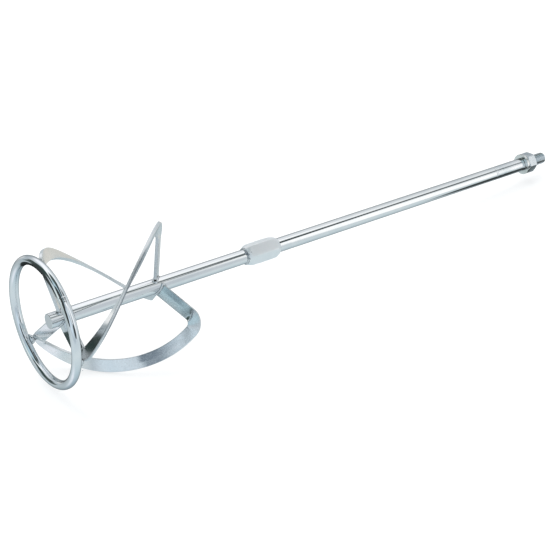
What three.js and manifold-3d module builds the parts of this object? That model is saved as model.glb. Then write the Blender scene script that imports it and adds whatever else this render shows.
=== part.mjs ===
// Mortar mixing paddle: a welded stirrer with three flat-bar wings on a ring, a coupling nut,
// a screwed-in extension shaft and a threaded spindle end with a lock washer and a lock nut.
// Millimetres. +Z runs up the shaft from the stirring end to the drive end.
// The origin is the centre of the shaft's flat foot face. Wing 1 starts above the +X axis.

import * as THREE from 'three';
import { mergeVertices } from 'three/addons/utils/BufferGeometryUtils.js';
import Module from 'manifold-3d';

const wasm = await Module();
wasm.setup();

// ---------------------------------------------------------------- driving dimensions

const GAP = 0.3; // clearance left where one piece is shaped to its neighbour

const SHAFT_RADIUS = 8; // round bar and extension tube
const TUBE_BORE_RADIUS = 6; // 2 mm wall

const THREAD_RADIUS = 7; // M14
const THREAD_PITCH = 2;
const THREAD_DEPTH = 1.2;
const THREAD_CREST = 0.24; // flat top of the thread, as a share of a pitch
const THREAD_STEPS = 16; // straight stretches in one turn
const NUT_BORE_RADIUS = 7.25; // plain bore that clears the thread's crests
const ACROSS_FLATS = 22; // M14 hexagon

const RING_RADIUS = 65; // centreline of the bent round bar
const RING_BAR_RADIUS = 5;
const RING_Z = -4.4; // the ring hangs below the foot of the shaft
const RING_BUTT_ANGLE = 300; // degrees, half-way between two wings
const RING_BUTT_WIDTH = 3;
const RING_BUTT_CROWN = 0.1; // ground nearly flush

const COUPLING_BASE = 238.5; // lower end of the long nut
const COUPLING_LENGTH = 42; // three thread diameters
const COUPLING_END_RADIUS = 10;
const COUPLING_CHAMFER = 62; // degrees
const LOWER_THREAD_LENGTH = 18; // lower shaft's screwed end inside the nut
const UPPER_THREAD_LENGTH = 20; // extension stud's screwed end inside the nut
const COUPLING_SEAM = 0.9; // open seam between the nut and the extension
const COUPLING_WELD_LENGTH = 3.6;
const COUPLING_WELD_RISE = 2;

const SPINDLE_JOINT = 613; // where the turned spindle end meets the extension tube
const SPINDLE_WELD_WIDTH = 1.6;
const SPINDLE_WELD_CROWN = 0.15; // ground nearly flush
const SHOULDER = 659.5; // top of the full-diameter shaft
const UNDERCUT_LENGTH = 2; // plain neck under the thread
const STUB_END = 697.5; // tip of the threaded stub
const PLUG_LENGTH = 24; // plain plugs inside the tube
const PLUG_CLEARANCE = 0.15;

const WASHER_OUTER_RADIUS = 12.6;
const WASHER_INNER_RADIUS = 7.5;
const WASHER_THICKNESS = 3.6;
const WASHER_SPREAD = 1.7; // rise from one end of the split to the other
const WASHER_START = -16; // degrees round the shaft of the washer's lower end
const WASHER_TURN = 346; // degrees of bar before the split
const WASHER_SLANT = 11; // degrees the cut leans over the washer's thickness
const NUT_HEIGHT = 12.2;
const NUT_END_RADIUS = 10.6;
const NUT_CHAMFER = 30; // degrees
const NUT_TURN = 13; // degrees the tightened nut stands turned from the long nut
const SEAT_GAP = 0.05; // between faces that rest on each other

const WELD_REACH = 1.5; // how far the fillets of a wing spread over the bar and over the shaft
const RING_WELD = { radius: 62.3, turn: 2.5, height: 1.6 }; // the lump between a wing and the ring
const RING_WELD_SIZE = new THREE.Vector3(3.4, 5, 3.9); // its half-sizes out, round and up

const WING_COUNT = 3;
const BAR_WIDTH = 13.5; // flat bar of the wings
const BAR_THICKNESS = 3.5;
const BAR_EDGE = 0.5; // eased long edges

// One wing, as the path of its bar's centreline: radius, turn about the shaft and height.
const FOOT_HEIGHT = 15; // centre of the foot spoke at the shaft
const RING_BEND = { radius: 60, height: 5.5 };
const TOP_BEND = { radius: 62.3, height: 139.6 };
const TOP_HEIGHT = 126; // centre of the folded arm at the shaft
const WING_TURN = -116; // degrees from the ring bend to the top bend
const WING_BULGE = 8.8; // how far the sweep bows outward between its bends
const LEAN_AT_RING = 54; // degrees between the bar and the shaft's axis
const LEAN_AT_TOP = 50;
const ROLL = { ring: 7, middle: -12, top: 34 }; // degrees the bar's face turns about its own path
const RING_BEND_REACH = 8; // how far each bend starts from its corner
const TOP_BEND_REACH = 13;
const BEND_HANDLE = 0.55; // roundness of the bends

// ---------------------------------------------------------------- materials

const material = (color, roughness) => new THREE.MeshStandardMaterial({ color, roughness, metalness: 1 });
const ZINC_BAR = material(0xc3d0d6, 0.26);
const ZINC_TUBE = material(0xced8dc, 0.2);
const ZINC_WELD = material(0xaab4b8, 0.45);
const ZINC_HEX = material(0xd2d8d6, 0.32);
const ZINC_THREAD = material(0xb4bcbf, 0.38);

// ---------------------------------------------------------------- solids from meshes and back

function toSolid(geometry) {
  const bare = geometry.clone();
  bare.deleteAttribute('normal');
  bare.deleteAttribute('uv');
  const merged = mergeVertices(bare, 1e-4);
  const vertProperties = new Float32Array(merged.attributes.position.array);
  const triVerts = new Uint32Array(merged.index.array);
  return new wasm.Manifold(new wasm.Mesh({ numProp: 3, vertProperties, triVerts }));
}

function toGeometry(solid) {
  const mesh = solid.getMesh();
  const geometry = new THREE.BufferGeometry();
  geometry.setAttribute('position', new THREE.BufferAttribute(mesh.vertProperties, 3));
  geometry.setIndex(new THREE.BufferAttribute(mesh.triVerts, 1));
  return geometry;
}

function largestPiece(solid) {
  const pieces = solid.decompose();
  pieces.sort((a, b) => b.volume() - a.volume());
  return pieces[0];
}

// A round body about the Z axis from [radius, height] corners, listed from bottom to top.
function turned(corners, segments = 30) {
  const profile = corners.map(([radius, height]) => new THREE.Vector2(radius, height));
  return new THREE.LatheGeometry(profile, segments).rotateX(Math.PI / 2);
}

function bar(radius, bottom, top, segments = 30) {
  return turned([[0, bottom], [radius, bottom], [radius, top], [0, top]], segments);
}

// ---------------------------------------------------------------- shared shapes

// A skin of rings of points, each ring joined to the next, with a flat fan over both ends.
function loft(rings) {
  const count = rings[0].length;
  const points = rings.flat();
  const index = [];
  for (let r = 0; r + 1 < rings.length; r += 1) {
    for (let i = 0; i < count; i += 1) {
      const a = r * count + i;
      const b = r * count + ((i + 1) % count);
      index.push(a, b, b + count, a, b + count, a + count);
    }
  }
  const last = (rings.length - 1) * count;
  for (let i = 1; i + 1 < count; i += 1) {
    index.push(0, i + 1, i);
    index.push(last, last + i, last + i + 1);
  }
  const geometry = new THREE.BufferGeometry().setFromPoints(points);
  geometry.setIndex(index);
  return geometry;
}

// A bar with a helical thread. Its skin is one strip that climbs a pitch in each turn, so the last
// point of a turn is the first point of the next; a bar with eased ends then trims it to length.
function threadedBar(bottom, top) {
  const root = THREAD_RADIUS - THREAD_DEPTH;
  const rise = (1 - THREAD_CREST) / 2;
  const profile = [[root, 0], [THREAD_RADIUS, rise], [THREAD_RADIUS, rise + THREAD_CREST]];
  const turns = Math.ceil((top - bottom) / THREAD_PITCH) + 3;
  const start = bottom - 2 * THREAD_PITCH;
  const rows = profile.length * turns;
  const points = [];
  for (let k = 0; k < rows + profile.length; k += 1) {
    const [radius, share] = profile[k % profile.length];
    for (let j = 0; j < THREAD_STEPS; j += 1) {
      const climb = Math.floor(k / profile.length) + share + j / THREAD_STEPS;
      const angle = (j / THREAD_STEPS) * 2 * Math.PI;
      const height = start + climb * THREAD_PITCH;
      points.push(new THREE.Vector3(radius * Math.cos(angle), radius * Math.sin(angle), height));
    }
  }
  const at = (k, j) => (j < THREAD_STEPS ? k * THREAD_STEPS + j : (k + profile.length) * THREAD_STEPS);
  const index = [];
  for (let k = 0; k < rows - 1; k += 1) {
    for (let j = 0; j < THREAD_STEPS; j += 1) {
      index.push(at(k, j), at(k, j + 1), at(k + 1, j + 1), at(k, j), at(k + 1, j + 1), at(k + 1, j));
    }
  }
  const rim = (k) => [
    ...Array.from({ length: THREAD_STEPS }, (_, j) => at(k, j)),
    ...profile.map((_, i) => at(k + profile.length - i, 0)),
  ];
  const below = points.push(new THREE.Vector3(0, 0, start - THREAD_PITCH)) - 1;
  const above = points.push(new THREE.Vector3(0, 0, start + (turns + 2) * THREAD_PITCH)) - 1;
  const lowRim = rim(0);
  const highRim = rim(rows - 1);
  lowRim.forEach((v, i) => index.push(below, lowRim[(i + 1) % lowRim.length], v));
  highRim.forEach((v, i) => index.push(above, v, highRim[(i + 1) % highRim.length]));
  const skin = new THREE.BufferGeometry().setFromPoints(points);
  skin.setIndex(index);
  const limit = turned([
    [0, bottom],
    [root, bottom],
    [THREAD_RADIUS + 0.2, bottom + THREAD_DEPTH],
    [THREAD_RADIUS + 0.2, top - THREAD_DEPTH],
    [root, top],
    [0, top],
  ], THREAD_STEPS);
  return toSolid(skin).intersect(toSolid(limit));
}

// A hexagonal nut blank with both ends chamfered to a circle of the given radius.
function hexBlank(bottom, height, endRadius, chamferAngle) {
  const cornerRadius = ACROSS_FLATS / 2 / Math.cos(Math.PI / 6);
  const outer = cornerRadius + 1;
  const slope = (outer - endRadius) * Math.tan(THREE.MathUtils.degToRad(chamferAngle));
  const top = bottom + height;
  const prism = new THREE.CylinderGeometry(cornerRadius, cornerRadius, height, 6).rotateX(Math.PI / 2);
  prism.translate(0, 0, bottom + height / 2);
  const envelope = turned([
    [0, bottom],
    [endRadius, bottom],
    [outer, bottom + slope],
    [outer, top - slope],
    [endRadius, top],
    [0, top],
  ], 36);
  return toSolid(prism).intersect(toSolid(envelope));
}

function nutBore(bottom, height) {
  return toSolid(bar(NUT_BORE_RADIUS, bottom - 1, bottom + height + 1));
}

// ---------------------------------------------------------------- the wing's path

function cylindrical(radius, degrees, height) {
  const angle = THREE.MathUtils.degToRad(degrees);
  return new THREE.Vector3(radius * Math.cos(angle), radius * Math.sin(angle), height);
}

// Turn about the shaft in degrees at a share s of the climb, leaving and arriving at the set leans.
function turnAt(s) {
  const climb = TOP_BEND.height - RING_BEND.height;
  const rate = (lean, radius) =>
    -THREE.MathUtils.radToDeg((climb * Math.tan(THREE.MathUtils.degToRad(lean))) / radius);
  const first = rate(LEAN_AT_RING, RING_BEND.radius);
  const last = rate(LEAN_AT_TOP, TOP_BEND.radius);
  const s2 = s * s;
  const s3 = s2 * s;
  return (3 * s2 - 2 * s3) * WING_TURN + (s3 - 2 * s2 + s) * first + (s3 - s2) * last;
}

function sweepPoint(s) {
  const straight = THREE.MathUtils.lerp(RING_BEND.radius, TOP_BEND.radius, s);
  const radius = straight + WING_BULGE * 4 * s * (1 - s);
  const height = THREE.MathUtils.lerp(RING_BEND.height, TOP_BEND.height, s);
  return cylindrical(radius, turnAt(s), height);
}

// The bar's face normal on the sweep: square to the path and to the shaft, then rolled.
function sweepNormal(s) {
  const step = 1e-3;
  const along = sweepPoint(s + step).sub(sweepPoint(s - step)).normalize();
  const outward = sweepPoint(s).setZ(0).normalize();
  const middleRoll = ROLL.middle - (ROLL.ring + ROLL.top) / 2;
  const roll = THREE.MathUtils.lerp(ROLL.ring, ROLL.top, s) + middleRoll * 4 * s * (1 - s);
  const normal = new THREE.Vector3().crossVectors(along, outward).normalize();
  return normal.applyAxisAngle(along, THREE.MathUtils.degToRad(roll));
}

// A bend between two legs: a curve that starts and ends at the given reach from the corner.
function bend(before, corner, after) {
  return new THREE.CubicBezierCurve3(
    before,
    before.clone().lerp(corner, BEND_HANDLE),
    after.clone().lerp(corner, BEND_HANDLE),
    after,
  );
}

// Centreline stations of wing 1, from inside the shaft's foot, out, up and back into the shaft.
function wingStations() {
  const footStart = cylindrical(SHAFT_RADIUS * 0.5, 0, FOOT_HEIGHT);
  const topEnd = cylindrical(SHAFT_RADIUS * 0.5, WING_TURN, TOP_HEIGHT);
  const ringCorner = sweepPoint(0);
  const topCorner = sweepPoint(1);
  const sweepLength = ringCorner.distanceTo(sweepPoint(0.1)) * 10;
  const first = RING_BEND_REACH / sweepLength;
  const last = 1 - TOP_BEND_REACH / sweepLength;
  const toward = (from, to, reach) => from.clone().add(to.clone().sub(from).setLength(reach));
  const ringBend = bend(toward(ringCorner, footStart, RING_BEND_REACH), ringCorner, sweepPoint(first));
  const topBend = bend(sweepPoint(last), topCorner, toward(topCorner, topEnd, TOP_BEND_REACH));

  const stations = [{ point: footStart, s: 0 }];
  const bendSteps = 8;
  const sweepSteps = 26;
  for (let i = 0; i <= bendSteps; i += 1) {
    stations.push({ point: ringBend.getPoint(i / bendSteps), s: (first * i) / bendSteps });
  }
  for (let i = 1; i < sweepSteps; i += 1) {
    const s = THREE.MathUtils.lerp(first, last, i / sweepSteps);
    stations.push({ point: sweepPoint(s), s });
  }
  for (let i = 0; i <= bendSteps; i += 1) {
    const s = THREE.MathUtils.lerp(last, 1, i / bendSteps);
    stations.push({ point: topBend.getPoint(i / bendSteps), s });
  }
  stations.push({ point: topEnd, s: 1 });
  return stations;
}

// The bar's own axes at every station: along its path, across its width and through its thickness.
function wingFrames() {
  const stations = wingStations();
  return stations.map(({ point, s }, i) => {
    const before = stations[Math.max(i - 1, 0)].point;
    const after = stations[Math.min(i + 1, stations.length - 1)].point;
    const along = after.clone().sub(before).normalize();
    const through = sweepNormal(s).projectOnPlane(along).normalize();
    const across = new THREE.Vector3().crossVectors(through, along);
    return { point, along, across, through };
  });
}

const WING_FRAMES = wingFrames();

// The flat bar swept along the wing's path, grown on every side by an allowance.
function sweptBar(allowance) {
  const halfWidth = BAR_WIDTH / 2 + allowance;
  const halfThickness = BAR_THICKNESS / 2 + allowance;
  const outline = [
    [halfWidth, halfThickness - BAR_EDGE],
    [halfWidth - BAR_EDGE, halfThickness],
    [BAR_EDGE - halfWidth, halfThickness],
    [-halfWidth, halfThickness - BAR_EDGE],
    [-halfWidth, BAR_EDGE - halfThickness],
    [BAR_EDGE - halfWidth, -halfThickness],
    [halfWidth - BAR_EDGE, -halfThickness],
    [halfWidth, BAR_EDGE - halfThickness],
  ];
  const rings = WING_FRAMES.map(({ point, across, through }) =>
    outline.map(([w, t]) => point.clone().addScaledVector(across, w).addScaledVector(through, t)));
  return toSolid(loft(rings));
}

// ---------------------------------------------------------------- stirrer

function ringBar(allowance) {
  const geometry = new THREE.TorusGeometry(RING_RADIUS, RING_BAR_RADIUS + allowance, 10, 54);
  geometry.translate(0, 0, RING_Z);
  return toSolid(geometry);
}

function atRingButt(geometry) {
  const angle = THREE.MathUtils.degToRad(RING_BUTT_ANGLE);
  geometry.translate(RING_RADIUS, 0, RING_Z);
  return geometry.rotateZ(angle);
}

function ring() {
  const size = RING_BAR_RADIUS * 3;
  const slot = atRingButt(new THREE.BoxGeometry(size, RING_BUTT_WIDTH, size));
  return ringBar(0).subtract(toSolid(slot));
}

// The weld that closes the ring: a plug between its two sawn ends with a slight crown.
function ringButtWeld() {
  const half = RING_BUTT_WIDTH / 2 - GAP;
  const rim = RING_BAR_RADIUS - RING_BUTT_CROWN;
  const plug = new THREE.LatheGeometry([
    new THREE.Vector2(0, -half),
    new THREE.Vector2(rim, -half),
    new THREE.Vector2(RING_BAR_RADIUS + RING_BUTT_CROWN, 0),
    new THREE.Vector2(rim, half),
    new THREE.Vector2(0, half),
  ], 24);
  return toSolid(atRingButt(plug));
}

function shaftSleeve(radius) {
  return toSolid(bar(radius, -FOOT_HEIGHT, COUPLING_BASE, 30));
}

function wing() {
  return largestPiece(sweptBar(0).subtract(shaftSleeve(SHAFT_RADIUS + GAP)).subtract(ringBar(GAP)));
}

// The fillets along a wing at the shaft: all that is near both pieces and inside neither.
function shaftFillet(isAtFoot) {
  const band = sweptBar(WELD_REACH).intersect(shaftSleeve(SHAFT_RADIUS + WELD_REACH));
  const beads = band.subtract(shaftSleeve(SHAFT_RADIUS + GAP)).subtract(sweptBar(GAP));
  const [upper, lower] = beads.splitByPlane([0, 0, 1], (FOOT_HEIGHT + TOP_HEIGHT) / 2);
  return largestPiece(isAtFoot ? lower : upper);
}

// The lump of weld that fills the space between a wing's first bend and the ring below it.
function ringWeld() {
  const { radius, turn, height } = RING_WELD;
  const lump = new THREE.SphereGeometry(1, 14, 10).rotateX(Math.PI / 2);
  lump.scale(RING_WELD_SIZE.x, RING_WELD_SIZE.y, RING_WELD_SIZE.z);
  lump.translate(radius, 0, height).rotateZ(THREE.MathUtils.degToRad(turn));
  return largestPiece(toSolid(lump).subtract(ringBar(GAP)).subtract(sweptBar(GAP)));
}

function lowerShaft() {
  const full = bar(SHAFT_RADIUS, 0, COUPLING_BASE - GAP);
  const screwed = threadedBar(COUPLING_BASE - 1, COUPLING_BASE + LOWER_THREAD_LENGTH);
  return toSolid(full).add(screwed);
}

function couplingNut() {
  const blank = hexBlank(COUPLING_BASE, COUPLING_LENGTH, COUPLING_END_RADIUS, COUPLING_CHAMFER);
  return blank.subtract(nutBore(COUPLING_BASE, COUPLING_LENGTH));
}

// The fillet weld between the lower shaft and the long nut.
function couplingWeld() {
  const inner = SHAFT_RADIUS + GAP;
  const top = COUPLING_BASE - GAP;
  return toSolid(turned([
    [inner, top - COUPLING_WELD_LENGTH],
    [inner + COUPLING_WELD_RISE * 0.4, top - COUPLING_WELD_LENGTH * 0.9],
    [inner + COUPLING_WELD_RISE * 0.8, top - COUPLING_WELD_LENGTH * 0.4],
    [inner + COUPLING_WELD_RISE, top],
    [inner, top],
    [inner, top - COUPLING_WELD_LENGTH],
  ]));
}

// ---------------------------------------------------------------- extension

const EXTENSION_START = COUPLING_BASE + COUPLING_LENGTH + COUPLING_SEAM;
const PLUG_RADIUS = TUBE_BORE_RADIUS - PLUG_CLEARANCE;

function upperShaft() {
  const top = SPINDLE_JOINT - SPINDLE_WELD_WIDTH / 2 - GAP;
  return toSolid(turned([
    [TUBE_BORE_RADIUS, EXTENSION_START],
    [SHAFT_RADIUS, EXTENSION_START],
    [SHAFT_RADIUS, top],
    [TUBE_BORE_RADIUS, top],
    [TUBE_BORE_RADIUS, EXTENSION_START],
  ]));
}

function extensionStud() {
  const seat = EXTENSION_START - GAP;
  const plug = bar(PLUG_RADIUS, seat - 1, EXTENSION_START + PLUG_LENGTH);
  return threadedBar(seat - UPPER_THREAD_LENGTH, seat).add(toSolid(plug));
}

// The weld ring that joins the turned spindle end to the tube, ground nearly flush.
function spindleWeld() {
  const low = SPINDLE_JOINT - SPINDLE_WELD_WIDTH / 2;
  const high = SPINDLE_JOINT + SPINDLE_WELD_WIDTH / 2;
  return toSolid(turned([
    [TUBE_BORE_RADIUS, low],
    [SHAFT_RADIUS, low],
    [SHAFT_RADIUS + SPINDLE_WELD_CROWN, SPINDLE_JOINT],
    [SHAFT_RADIUS, high],
    [TUBE_BORE_RADIUS, high],
    [TUBE_BORE_RADIUS, low],
  ]));
}

function spindleEnd() {
  const undercut = THREAD_RADIUS - THREAD_DEPTH;
  const start = SPINDLE_JOINT + SPINDLE_WELD_WIDTH / 2 + GAP;
  const body = toSolid(turned([
    [0, SPINDLE_JOINT - PLUG_LENGTH],
    [PLUG_RADIUS, SPINDLE_JOINT - PLUG_LENGTH],
    [PLUG_RADIUS, start],
    [SHAFT_RADIUS, start],
    [SHAFT_RADIUS, SHOULDER],
    [undercut, SHOULDER],
    [undercut, SHOULDER + UNDERCUT_LENGTH],
    [0, SHOULDER + UNDERCUT_LENGTH],
  ]));
  return body.add(threadedBar(SHOULDER + UNDERCUT_LENGTH * 0.75, STUB_END));
}

// ---------------------------------------------------------------- lock washer and lock nut

const WASHER_BASE = SHOULDER + SEAT_GAP;
const NUT_BASE = WASHER_BASE + WASHER_THICKNESS + WASHER_SPREAD + SEAT_GAP;

// A spring washer for a right-hand thread: one turn of square-edged bar that rises the other way
// round, with a slanting cut between its ends.
function lockWasher() {
  const steps = 40;
  const rings = [];
  for (let i = 0; i <= steps; i += 1) {
    const degrees = WASHER_START - (WASHER_TURN * i) / steps;
    const low = WASHER_BASE + (WASHER_SPREAD * i) / steps;
    const high = low + WASHER_THICKNESS;
    rings.push([
      cylindrical(WASHER_INNER_RADIUS, degrees, low),
      cylindrical(WASHER_OUTER_RADIUS, degrees, low),
      cylindrical(WASHER_OUTER_RADIUS, degrees - WASHER_SLANT, high),
      cylindrical(WASHER_INNER_RADIUS, degrees - WASHER_SLANT, high),
    ]);
  }
  return toSolid(loft(rings));
}

function lockNut() {
  const blank = hexBlank(NUT_BASE, NUT_HEIGHT, NUT_END_RADIUS, NUT_CHAMFER).rotate([0, 0, NUT_TURN]);
  return blank.subtract(nutBore(NUT_BASE, NUT_HEIGHT));
}

// ---------------------------------------------------------------- assembly

function piece(name, solid, finish) {
  const mesh = new THREE.Mesh(toGeometry(solid), finish);
  mesh.name = name;
  return mesh;
}

function stirrer() {
  const group = new THREE.Group();
  group.add(
    piece('ring', ring(), ZINC_BAR),
    piece('ring_butt_weld', ringButtWeld(), ZINC_WELD),
    piece('lower_shaft', lowerShaft(), ZINC_TUBE),
    piece('coupling_nut', couplingNut(), ZINC_HEX),
    piece('coupling_weld', couplingWeld(), ZINC_WELD),
  );
  const shapes = {
    wing: wing(),
    foot_weld: shaftFillet(true),
    ring_weld: ringWeld(),
    top_weld: shaftFillet(false),
  };
  for (let i = 0; i < WING_COUNT; i += 1) {
    const arm = new THREE.Group();
    arm.rotation.z = (i * 2 * Math.PI) / WING_COUNT;
    for (const [name, solid] of Object.entries(shapes)) {
      arm.add(piece(`${name}_${i + 1}`, solid, name === 'wing' ? ZINC_BAR : ZINC_WELD));
    }
    group.add(arm);
  }
  return group;
}

function extension() {
  const group = new THREE.Group();
  group.add(
    piece('extension_stud', extensionStud(), ZINC_THREAD),
    piece('upper_shaft', upperShaft(), ZINC_TUBE),
    piece('spindle_weld', spindleWeld(), ZINC_WELD),
    piece('spindle_end', spindleEnd(), ZINC_THREAD),
  );
  return group;
}

const paddle = new THREE.Group();
paddle.add(
  stirrer(),
  extension(),
  piece('lock_washer', lockWasher(), ZINC_HEX),
  piece('lock_nut', lockNut(), ZINC_HEX),
);

export default paddle;
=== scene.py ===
"""Looks of the mortar mixing paddle: zinc-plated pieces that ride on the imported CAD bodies.

The pieces are built in millimetres in the CAD frame: +Z runs up the shaft, the origin is the
middle of the shaft's foot face, and wing 1 starts above the +X axis. They are turned into metres
when a mesh is made.
"""

import math

import bpy
import numpy as np
from mathutils import Matrix, Vector, noise


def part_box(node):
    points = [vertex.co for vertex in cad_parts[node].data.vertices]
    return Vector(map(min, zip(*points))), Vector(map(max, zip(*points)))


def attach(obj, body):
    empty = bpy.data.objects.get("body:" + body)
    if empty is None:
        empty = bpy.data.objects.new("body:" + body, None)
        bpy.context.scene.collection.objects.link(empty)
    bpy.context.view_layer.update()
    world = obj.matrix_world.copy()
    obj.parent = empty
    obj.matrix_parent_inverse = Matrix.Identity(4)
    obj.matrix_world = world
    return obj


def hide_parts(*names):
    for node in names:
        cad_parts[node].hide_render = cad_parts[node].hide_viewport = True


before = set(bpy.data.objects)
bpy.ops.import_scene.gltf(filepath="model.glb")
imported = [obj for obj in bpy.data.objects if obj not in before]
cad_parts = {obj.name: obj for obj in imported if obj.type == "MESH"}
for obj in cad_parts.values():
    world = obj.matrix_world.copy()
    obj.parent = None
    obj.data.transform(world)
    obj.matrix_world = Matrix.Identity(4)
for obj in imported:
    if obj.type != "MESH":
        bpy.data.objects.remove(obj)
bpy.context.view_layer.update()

# ---- dimensions, in millimetres

MM = 0.001

SHAFT_RADIUS = 8.0
TUBE_BORE_RADIUS = 6.0
PLUG_RADIUS = 5.85
THREAD_RADIUS = 7.0
THREAD_ROOT = 5.8
THREAD_END = THREAD_ROOT - 0.1
THREAD_PITCH = 2.0
THREAD_CLEARANCE = 0.16
THREAD_START = 0.3
ACROSS_FLATS = 22.0
NUT_MOUTH = THREAD_RADIUS + 0.75
SIDE_STEPS = 28
END_REACH = 6.1
BORE_STEP = 0.25

RING_RADIUS = 65.0
RING_BAR_RADIUS = 5.0
RING_BUTT_ANGLE = 300.0
RING_BUTT_WIDTH = 3.0
RING_END_EDGE = 0.2
RING_SIDES = 56

# A nut's end: the radius of its flat face and its chamfer's angle in degrees.
LOCK_NUT_END = (10.6, 30.0)
COUPLING_END = (9.6, 58.0)

BEAD_RIPPLE = 0.2
BEAD_FLATNESS = 0.8
BEAD_SIDES = 20
SEAM_START = 12.0
LUMP_RINGS = 36
LUMP_SIDES = 48

BAR_WIDTH = 13.5
BAR_THICKNESS = 3.5
BAR_EDGE = 0.6
FOOT_HEIGHT = 15.0
RING_BEND = (60.0, 5.5)
TOP_BEND = (62.3, 139.6)
TOP_HEIGHT = 126.0
WING_TURN = -116.0
WING_BULGE = 8.8
LEAN_AT_RING = 54.0
LEAN_AT_TOP = 50.0
ROLL_AT_RING = 7.0
ROLL_AT_MIDDLE = -12.0
ROLL_AT_TOP = 34.0
RING_BEND_REACH = 8.0
TOP_BEND_REACH = 13.0
BEND_HANDLE = 0.55
WING_END_RADIUS = 7.7
ARM_STEPS = 24
BEND_STEPS = 28
SWEEP_STEPS = 120

WASHER_START = -16.0
WASHER_TURN = 346.0
WASHER_SLANT = 11.0
WASHER_SPREAD = 1.7
WASHER_RADII = (7.5, 12.6)
NUT_TURN = 13.0

TINY = 0.001
SEGMENTS = 128
CORNER_STEPS = 4
CORNER_SUPPORT = 0.06
THREAD_STEP = 0.2
AXIS = Vector((0, 0, 1))
WORLD_AXES = (Vector((1, 0, 0)), Vector((0, 1, 0)), AXIS)


def height_span(node):
    """Lowest and highest point of a CAD node along the shaft, in millimetres."""
    low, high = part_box(node)
    return low.z / MM, high.z / MM


RING_Z = sum(height_span("ring")) / 2
COUPLING_BASE, COUPLING_TOP = height_span("coupling_nut")
EXTENSION_START, TUBE_TOP = height_span("upper_shaft")
SPINDLE_LOW, STUB_END = height_span("spindle_end")
SPINDLE_WELD_LOW, SPINDLE_WELD_HIGH = height_span("spindle_weld")
WASHER_BASE, WASHER_TOP = height_span("lock_washer")
NUT_BASE, NUT_TOP = height_span("lock_nut")
STUD_LOW, STUD_HIGH = height_span("extension_stud")
LOWER_THREAD_TOP = height_span("lower_shaft")[1]
SHOULDER = WASHER_BASE - 0.05


# ---- mesh helpers


def add_mesh(name, points, faces):
    """A smooth-shaded mesh object from points in millimetres."""
    mesh = bpy.data.meshes.new(name)
    mesh.from_pydata((np.asarray(points, float) * MM).tolist(), [], faces)
    mesh.polygons.foreach_set("use_smooth", [True] * len(mesh.polygons))
    mesh.update()
    thing = bpy.data.objects.new(name, mesh)
    bpy.context.scene.collection.objects.link(thing)
    return thing


def skin_faces(rows, columns, rows_close):
    """Quads over a grid whose columns run round and close on themselves."""
    faces = []
    for r in range(rows if rows_close else rows - 1):
        below = r * columns
        above = ((r + 1) % rows) * columns
        for c in range(columns):
            d = (c + 1) % columns
            faces.append((below + c, below + d, above + d, above + c))
    return faces


def skin(name, grid, rows_close=False, capped=False):
    """A skin over a grid of points, shaped (rows, columns, 3)."""
    grid = np.asarray(grid, float)
    rows, columns = grid.shape[:2]
    faces = skin_faces(rows, columns, rows_close)
    if capped:
        faces.append(tuple(range(columns))[::-1])
        faces.append(tuple((rows - 1) * columns + c for c in range(columns)))
    return add_mesh(name, grid.reshape(-1, 3), faces)


def round_grid(radii, heights, angles):
    """Grid points from radii shaped (rows, columns) or (rows, 1), and a height for each row."""
    radii = np.broadcast_to(np.asarray(radii, float), (len(heights), len(angles)))
    heights = np.broadcast_to(np.asarray(heights, float).reshape(len(heights), -1), radii.shape)
    return np.stack([radii * np.cos(angles), radii * np.sin(angles), heights], -1)


def even_angles(count):
    return np.arange(count) * 2 * math.pi / count


def leg_points(corner, end, reach):
    """Where a corner's curve meets one of its legs, and a support point just beyond it."""
    leg = end - corner
    length = np.linalg.norm(leg)
    meeting = corner + leg * min(0.4, reach / length)
    return meeting, meeting + leg / length * min(CORNER_SUPPORT, 0.05 * length)


def softened(profile, reach):
    """The profile with each inner corner replaced by a small curve. The support point on each
    side of the curve keeps the shading of the straight legs true."""
    points = [np.asarray(p, float) for p in profile]
    result = [points[0]]
    for before, corner, after in zip(points, points[1:], points[2:]):
        a, support_before = leg_points(corner, before, reach)
        b, support_after = leg_points(corner, after, reach)
        result.append(support_before)
        for i in range(CORNER_STEPS + 1):
            t = i / CORNER_STEPS
            result.append((1 - t) ** 2 * a + 2 * t * (1 - t) * corner + t * t * b)
        result.append(support_after)
    result.append(points[-1])
    return np.array(result)


def plain_rows(profile, reach=0.35):
    """Rows of a turned surface from [radius, height] corners, with its inner corners softened."""
    curve = softened(profile, reach)
    return round_grid(np.maximum(curve[:, :1], TINY), curve[:, 1], even_angles(SEGMENTS))


def turned_tube(name, profile, reach):
    """A turned piece with a bore. Its profile is a loop of corners."""
    loop = list(profile) + list(profile[:2])
    return skin(name, plain_rows(loop, reach)[1:-1], rows_close=True)


# ---- threads and hexagons


def thread_depth(heights, angles):
    """How deep the thread's groove is at each point: 0 on its crests and 1 at its roots."""
    phase = (heights / THREAD_PITCH - angles / (2 * math.pi)) % 1.0
    slope = np.abs(phase * 2 - 1)
    return np.clip((slope - 0.14) / 0.74, 0, 1)


def thread_rows(bottom, top, lead=1.3):
    """Rows of a fine helical thread with chamfered ends. The lead is a chamfer's length."""
    angles = even_angles(SEGMENTS)
    heights = np.arange(bottom, top + 0.01, THREAD_STEP)
    depth = thread_depth(heights[:, None], angles[None, :])
    radii = THREAD_RADIUS - (THREAD_RADIUS - THREAD_ROOT) * depth
    from_end = np.minimum(heights - bottom, top - heights)
    slope = (THREAD_RADIUS - THREAD_END) / lead
    radii = np.minimum(radii, THREAD_END + from_end[:, None] * slope)
    return round_grid(radii, heights, angles)


def hexagon_radii(angles, turn, sharpness):
    """The distance from the axis to a hexagon's softly rounded outline at each angle."""
    total = np.zeros_like(angles)
    for side in range(6):
        facing = np.cos(angles - math.radians(turn + 60 * side))
        total += np.maximum(facing, 0) ** sharpness
    return ACROSS_FLATS / 2 * total ** (-1 / sharpness)


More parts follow.
